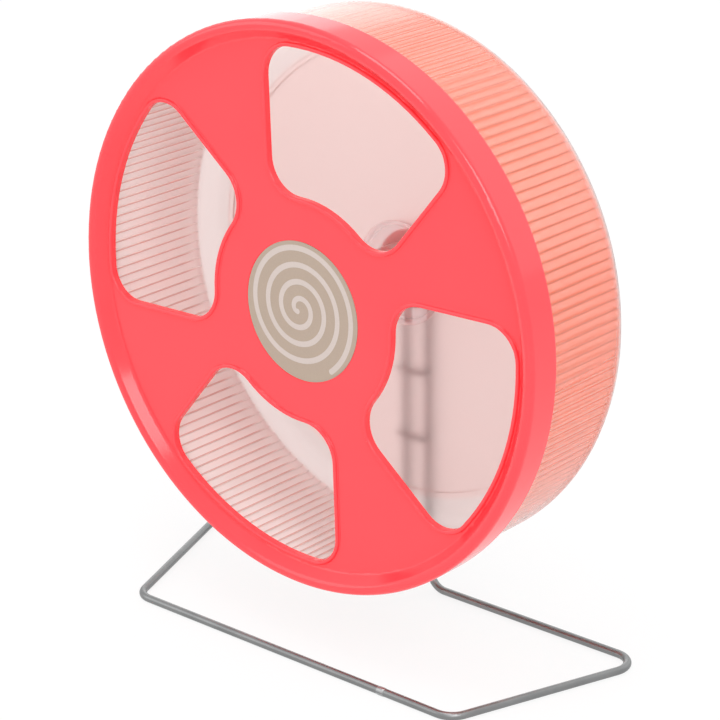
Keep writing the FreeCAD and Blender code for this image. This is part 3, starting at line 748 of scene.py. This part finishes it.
@dataclass
class Stand:
    """The bent wire stand with its welds."""

    axle: Point
    body: Body = Body.STAND
    wire_radius: float = 2.0 * MM
    # The weld on the front rail: a stretched ring, cut low on top and flush below and in front.
    rail_weld_at: float = 61.0 * MM
    rail_bead: float = 0.2 * MM
    rail_stretch: float = 11.0
    rail_unevenness: float = 0.08 * MM
    rail_seed: int = 4
    rail_proud: float = 0.14 * MM
    rail_inset: float = 0.02 * MM
    # The beads on the uprights, which the cross wires pass by their overhang.
    rung_bead: float = 1.7 * MM
    rung_shape: Point = (1.0, 0.7, 1.05)
    rung_overhang: float = 1.0 * MM
    rung_unevenness: float = 0.1 * MM
    rung_seed: int = 7
    rungs: Tuple[str, ...] = ("upper_cross_wire", "lower_cross_wire")

    def build(self) -> List[bpy.types.Object]:
        """Model the weld beads, first the one on the front rail, then those of the rungs."""
        return [self.rail_weld(), self.rung_welds()]

    def rail_weld(self) -> bpy.types.Object:
        """Butt weld of the front rail: a low ring right of its middle, ground almost flush.

        Returns:
            The weld piece.
        """
        low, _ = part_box("stand_wire")
        middle = (self.rail_weld_at, low[1] + self.wire_radius, low[2] + self.wire_radius)
        Bench.clear()
        bpy.ops.mesh.primitive_torus_add(
            major_segments=40, minor_segments=12, major_radius=self.wire_radius,
            minor_radius=self.rail_bead, location=middle, rotation=(0.0, math.pi / 2, 0.0))
        bead = bpy.context.object
        bpy.ops.object.mode_set(mode="EDIT")
        bpy.ops.mesh.select_all(action="SELECT")
        bpy.ops.transform.resize(value=(self.rail_stretch, 1.0, 1.0))
        bpy.ops.transform.vertex_random(offset=self.rail_unevenness, seed=self.rail_seed)
        top = low[2] + 2 * self.wire_radius + self.rail_proud
        for place, away in (((0.0, 0.0, top), (0.0, 0.0, 1.0)),
                            ((0.0, 0.0, low[2] + self.rail_inset), (0.0, 0.0, -1.0)),
                            ((0.0, low[1] + self.rail_inset, 0.0), (0.0, -1.0, 0.0))):
            bpy.ops.mesh.select_all(action="SELECT")
            bpy.ops.mesh.bisect(plane_co=place, plane_no=away, use_fill=True, clear_outer=True,
                                threshold=ON_PLANE)
        bpy.ops.object.mode_set(mode="OBJECT")
        return Bench.join("front_rail_weld", [bead])

    def rung_welds(self) -> bpy.types.Object:
        """Small beads where the two cross wires meet the uprights, each a little uneven.

        Returns:
            The beads as one piece.
        """
        beads = []
        for node in self.rungs:
            low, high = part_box(node)
            height = (low[2] + high[2]) / 2
            seam = high[1]
            reach = (high[0] - low[0]) / 2 - self.wire_radius - self.rung_overhang
            for side in (-1.0, 1.0):
                Bench.clear()
                bpy.ops.mesh.primitive_uv_sphere_add(
                    segments=20, ring_count=12, radius=self.rung_bead,
                    location=(side * reach, seam, height), scale=self.rung_shape)
                bead = bpy.context.object
                bpy.ops.object.mode_set(mode="EDIT")
                bpy.ops.mesh.select_all(action="SELECT")
                bpy.ops.transform.vertex_random(
                    offset=self.rung_unevenness, seed=self.rung_seed + len(beads))
                bpy.ops.object.mode_set(mode="OBJECT")
                beads.append(bead)
        return Bench.join("cross_wire_welds", beads)

    def dress(self, beads: Iterable[bpy.types.Object]) -> None:
        """Plate the wires and the beads on the uprights; the weld on the front rail is ground.

        Args:
            beads: The weld pieces, as build() returns them.
        """
        plating = PlatedWire("grey_plated_wire", self.axle).material()
        for node in ("stand_wire", *self.rungs):
            paint(node, plating, self.body)
        ground = GroundWeld("ground_weld_steel", self.axle).material()
        for bead, finish in zip(beads, (ground, plating)):
            settle(bead, finish, self.body)


@dataclass
class AxleBlock:
    """The clamped block behind the wheel, with the axle bolt and what sits on it."""

    axle: Point
    body: Body = Body.STAND
    # Lighter than the cover's coral: painted light that makes up for the shade the block sits in behind
    # the wheel.
    coral: str = "#FF7074"
    coral_shade: str = "#F86A6E"
    head_height: float = 5.3 * MM
    head_flats: float = 13.0 * MM
    crown_per_flats: float = 0.475
    crown_slope: float = math.sqrt(3.0)
    # The tool is a hair longer than the head, so that no two end faces coincide.
    crown_margin: float = 1.0001
    bolt_radius: float = 3.98 * MM
    bolt_bevel: float = 0.8 * MM
    screw_head_radius: float = 4.0 * MM
    screw_head_height: float = 3.0 * MM
    screw_head_bevel: float = 1.1 * MM
    screw_radius: float = 2.0 * MM
    screw_bevel: float = 0.4 * MM
    recess_length: float = 3.9 * MM
    recess_width: float = 0.95 * MM
    recess_height: float = 2.4 * MM
    recess_proud: float = 0.3 * MM
    recess_taper: float = 0.45
    coral_nodes: Tuple[str, ...] = ("axle_block_front", "axle_block_rear")
    zinc_nodes: Tuple[str, ...] = ("clamp_nuts", "lock_nut", "axle_washer", "bearing_spacer")
    ring_nodes: Tuple[str, ...] = ("front_bearing_inner_ring", "rear_bearing_inner_ring")

    def build(self) -> List[bpy.types.Object]:
        """Model the fasteners that show from behind: the bolt, then the pair of screws."""
        return [self.bolt(), self.screws()]

    def bolt(self) -> bpy.types.Object:
        """Hexagon bolt with a turned chamfer on its head and a bevelled tip.

        Returns:
            The bolt.
        """
        low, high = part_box("axle_bolt")
        middle = (0.0, high[1] - self.head_height / 2, self.axle[2])
        Bench.clear()
        bpy.ops.mesh.primitive_cylinder_add(
            vertices=6, radius=self.head_flats / math.sqrt(3.0), depth=self.head_height,
            location=middle, rotation=(math.pi / 2, math.pi / 6, 0.0))
        head = bpy.context.object
        crown = self.head_flats * self.crown_per_flats
        Bench.clear()
        bpy.ops.mesh.primitive_cone_add(
            vertices=72, radius1=crown + self.head_height * self.crown_slope, radius2=crown,
            depth=self.head_height * self.crown_margin, location=middle,
            rotation=(-math.pi / 2, 0.0, 0.0))
        Bench.cut(head, bpy.context.object, Cut.WITHIN_TOOL)
        length = high[1] - self.head_height - low[1]
        Bench.clear()
        bpy.ops.mesh.primitive_cylinder_add(
            vertices=48, radius=self.bolt_radius, depth=length,
            location=(0.0, low[1] + length / 2, self.axle[2]), rotation=(math.pi / 2, 0.0, 0.0))
        shank = bpy.context.object
        Bench.bevel_end(shank, self.bolt_bevel, 2)
        return Bench.join("hexagon_axle_bolt", [head, shank])

    def screws(self) -> bpy.types.Object:
        """Two pan-head screws with a cross recess: one is modelled and copied.

        Returns:
            Both screws as one piece.
        """
        low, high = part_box("clamp_screws")
        offset = high[0] - self.screw_head_radius
        place = Vector((-offset, high[1] - self.screw_head_height / 2, self.axle[2]))
        Bench.clear()
        bpy.ops.mesh.primitive_cylinder_add(
            vertices=40, radius=self.screw_head_radius, depth=self.screw_head_height,
            location=place, rotation=(-math.pi / 2, 0.0, 0.0))
        head = bpy.context.object
        Bench.bevel_end(head, self.screw_head_bevel, 5)
        for turn in (0.0, math.pi / 2):
            Bench.cut(head, self.recess(place, turn), Cut.AWAY_FROM_TOOL)
        length = high[1] - self.screw_head_height - low[1]
        Bench.clear()
        bpy.ops.mesh.primitive_cylinder_add(
            vertices=24, radius=self.screw_radius, depth=length,
            location=(-offset, low[1] + length / 2, self.axle[2]), rotation=(math.pi / 2, 0.0, 0.0))
        shank = bpy.context.object
        Bench.bevel_end(shank, self.screw_bevel, 1)
        screw = Bench.join("left_clamp_screw", [head, shank])
        bpy.ops.object.duplicate(linked=False)
        bpy.ops.transform.translate(value=(2 * offset, 0.0, 0.0))
        return Bench.join("cross_head_clamp_screws", [screw, bpy.context.object])

    def recess(self, place: Vector, turn: float) -> bpy.types.Object:
        """One tapered blade of a screw's cross recess.

        Args:
            place: Middle of the screw's head.
            turn: Turn of the blade about the screw.

        Returns:
            The cutting shape.
        """
        rise = self.screw_head_height / 2 + self.recess_proud - self.recess_height / 2
        Bench.clear()
        bpy.ops.mesh.primitive_cube_add(
            size=1.0, location=place + Vector((0.0, rise, 0.0)), rotation=(-math.pi / 2, turn, 0.0),
            scale=(self.recess_length, self.recess_width, self.recess_height))
        blade = bpy.context.object
        bpy.ops.object.mode_set(mode="EDIT")
        Bench.pick(blade, (0.0, 0.0, -1.0))
        bpy.ops.transform.resize(value=[self.recess_taper] * 3)
        bpy.ops.object.mode_set(mode="OBJECT")
        return blade

    def dress(self, fasteners: Iterable[bpy.types.Object]) -> None:
        """Give the block, the parts on the axle and the fasteners their finishes.

        Args:
            fasteners: The bolt and the screws, as build() returns them.
        """
        # The block's coral is painted lighter, standing in for the light that its shaded place behind
        # the wheel lacks.
        coral = MouldedAbs("coral_block_abs_painted_lighter", self.axle, self.coral, self.coral_shade).material()
        zinc = PlatedSteel("zinc_plated_steel", self.axle).material()
        polished = PolishedRing("polished_inner_ring_steel", self.axle).material()
        for nodes, finish in ((self.coral_nodes, coral), (self.zinc_nodes, zinc),
                              (self.ring_nodes, polished)):
            for node in nodes:
                paint(node, finish, self.body)
        for piece, node in zip(fasteners, ("axle_bolt", "clamp_screws")):
            settle(piece, zinc, self.body)
            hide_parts(node)


@dataclass(frozen=True)
class Softbox:
    """A square lamp: its place, the length of its side and its power in watts."""

    name: str
    place: Point
    size: float
    power: float

    def hang(self, aim: Point) -> None:
        """Hang the lamp so that it looks at a point.

        Args:
            aim: The point that it looks at.
        """
        light = bpy.data.lights.new(self.name, "AREA")
        light.size = self.size
        light.energy = self.power
        lamp = bpy.data.objects.new(self.name, light)
        lamp.location = self.place
        lamp.rotation_euler = (Vector(aim) - lamp.location).to_track_quat("-Z", "Y").to_euler()
        bpy.context.scene.collection.objects.link(lamp)


@dataclass
class Studio:
    """White floor, soft light and the camera at the photographed angle."""

    axle: Point
    lens_mm: float = 127.85
    sensor_mm: float = 36.0
    azimuth: float = math.radians(40.95)
    elevation: float = math.radians(20.93)
    roll: float = math.radians(-0.65)
    target: Point = (40.287 * MM, -44.45 * MM, 162.552 * MM)
    distance: float = 1179.69 * MM
    floor_size: float = 30.0
    floor_paper: str = "#F0F0F0"
    # Share of the floor that glows where it is seen; the rest takes the shadow.
    floor_glow: float = 0.84
    # Strength of the surroundings as light, and of the white that is seen.
    light_strength: float = 0.84
    white_strength: float = 1.0
    softboxes: Tuple[Softbox, ...] = (
        Softbox("key_softbox", (1.25, -0.95, 1.25), 1.0, 13.0),
        Softbox("fill_softbox", (-1.3, -1.2, 0.9), 1.2, 5.0),
        Softbox("top_softbox", (0.0, -0.35, 1.95), 0.9, 9.0),
        Softbox("side_softbox", (-1.2, 1.35, 0.55), 1.1, 3.2),
        Softbox("back_softbox", (0.5, 1.45, 1.35), 2.2, 6.0))

    def build(self) -> None:
        """Set up floor, world, lamps, camera and view."""
        self.floor()
        self.world()
        for softbox in self.softboxes:
            softbox.hang(self.axle)
        self.camera()
        bpy.context.scene.view_settings.view_transform = "Standard"

    def floor(self) -> None:
        """White paper floor that glows enough, where it is seen, to keep only a faint shadow."""
        Bench.clear()
        bpy.ops.mesh.primitive_plane_add(size=self.floor_size)
        floor = bpy.context.object
        floor.name = "studio_floor"
        made = bpy.data.materials.new("white_floor")
        made.use_nodes = True
        tree = made.node_tree
        tree.nodes.clear()
        paper = add(tree, "ShaderNodeBsdfDiffuse", {"Color": linear(self.floor_paper)})
        glow = add(tree, "ShaderNodeEmission", {"Color": WHITE, "Strength": self.white_strength})
        share = add(tree, "ShaderNodeMath", {0: self.shown(tree), 1: self.floor_glow},
                    operation="MULTIPLY")
        both = add(tree, "ShaderNodeMixShader", {
            0: share.outputs[0], 1: paper.outputs[0], 2: glow.outputs[0]})
        add(tree, "ShaderNodeOutputMaterial", {"Surface": both.outputs[0]})
        floor.data.materials.append(made)

    def world(self) -> None:
        """Even surroundings: a softer light on the object, plain white where they are seen."""
        sky = bpy.data.worlds.new("white_surroundings")
        sky.use_nodes = True
        tree = sky.node_tree
        tree.nodes.clear()
        lit, seen = (add(tree, "ShaderNodeBackground", {"Color": WHITE, "Strength": strength})
                     for strength in (self.light_strength, self.white_strength))
        both = add(tree, "ShaderNodeMixShader", {
            0: self.shown(tree), 1: lit.outputs[0], 2: seen.outputs[0]})
        add(tree, "ShaderNodeOutputWorld", {"Surface": both.outputs[0]})
        bpy.context.scene.world = sky

    @staticmethod
    def shown(tree: bpy.types.NodeTree) -> bpy.types.NodeSocket:
        """Tell the rays that show the background, straight, mirrored or through the drum.

        Args:
            tree: Node tree of the floor or the world.

        Returns:
            One on such rays and zero on those that only light the object.
        """
        path = add(tree, "ShaderNodeLightPath")
        seen = path.outputs["Is Camera Ray"]
        for ray in ("Is Glossy Ray", "Is Transmission Ray"):
            seen = add(tree, "ShaderNodeMath", {0: seen, 1: path.outputs[ray]},
                       operation="MAXIMUM").outputs[0]
        return seen

    def camera(self) -> None:
        """Put the camera where the photograph was taken from."""
        across, rise = math.cos(self.elevation), math.sin(self.elevation)
        back = Vector((math.sin(self.azimuth) * across, -math.cos(self.azimuth) * across, rise))
        right = Vector((math.cos(self.azimuth), math.sin(self.azimuth), 0.0))
        up = back.cross(right)
        turn = Matrix.Rotation(self.roll, 3, back)
        data = bpy.data.cameras.new("photo_camera")
        data.lens = self.lens_mm
        data.sensor_width = self.sensor_mm
        camera = bpy.data.objects.new("photo_camera", data)
        camera.matrix_world = Matrix((turn @ right, turn @ up, back)).transposed().to_4x4()
        camera.location = Vector(self.target) + back * self.distance
        bpy.context.scene.collection.objects.link(camera)
        bpy.context.scene.camera = camera


def paint(node: str, finish: bpy.types.Material, body: Body) -> None:
    """Give a CAD node its finish and report it.

    Args:
        node: Name of the node in the frame.
        finish: Its material.
        body: The body that the node belongs to.
    """
    for slot in frame["nodes"][node].material_slots:
        slot.material = finish
    LOG.info("dressed %s on %s in %s", node, body.value, finish.name)


def settle(piece: bpy.types.Object, finish: bpy.types.Material, body: Body) -> None:
    """Finish a new piece, let it ride on its body and report it.

    Args:
        piece: The new piece.
        finish: Its material.
        body: The body that carries it.
    """
    piece.data.materials.clear()
    piece.data.materials.append(finish)
    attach(piece, body.value)
    LOG.info("made %s on %s in %s", piece.name, body.value, finish.name)


def main() -> None:
    """Build and dress the wheel, then set up the studio."""
    logging.basicConfig(level=logging.INFO, format="%(name)s: %(message)s")
    axle = tuple(frame["record"]["behaviour"]["joints"][0]["pos_m"])
    Wheel(axle).dress()
    BallSets(axle).dress()
    stand = Stand(axle)
    stand.dress(stand.build())
    block = AxleBlock(axle)
    block.dress(block.build())
    Studio(axle).build()


if __name__ == "__main__":
    main()
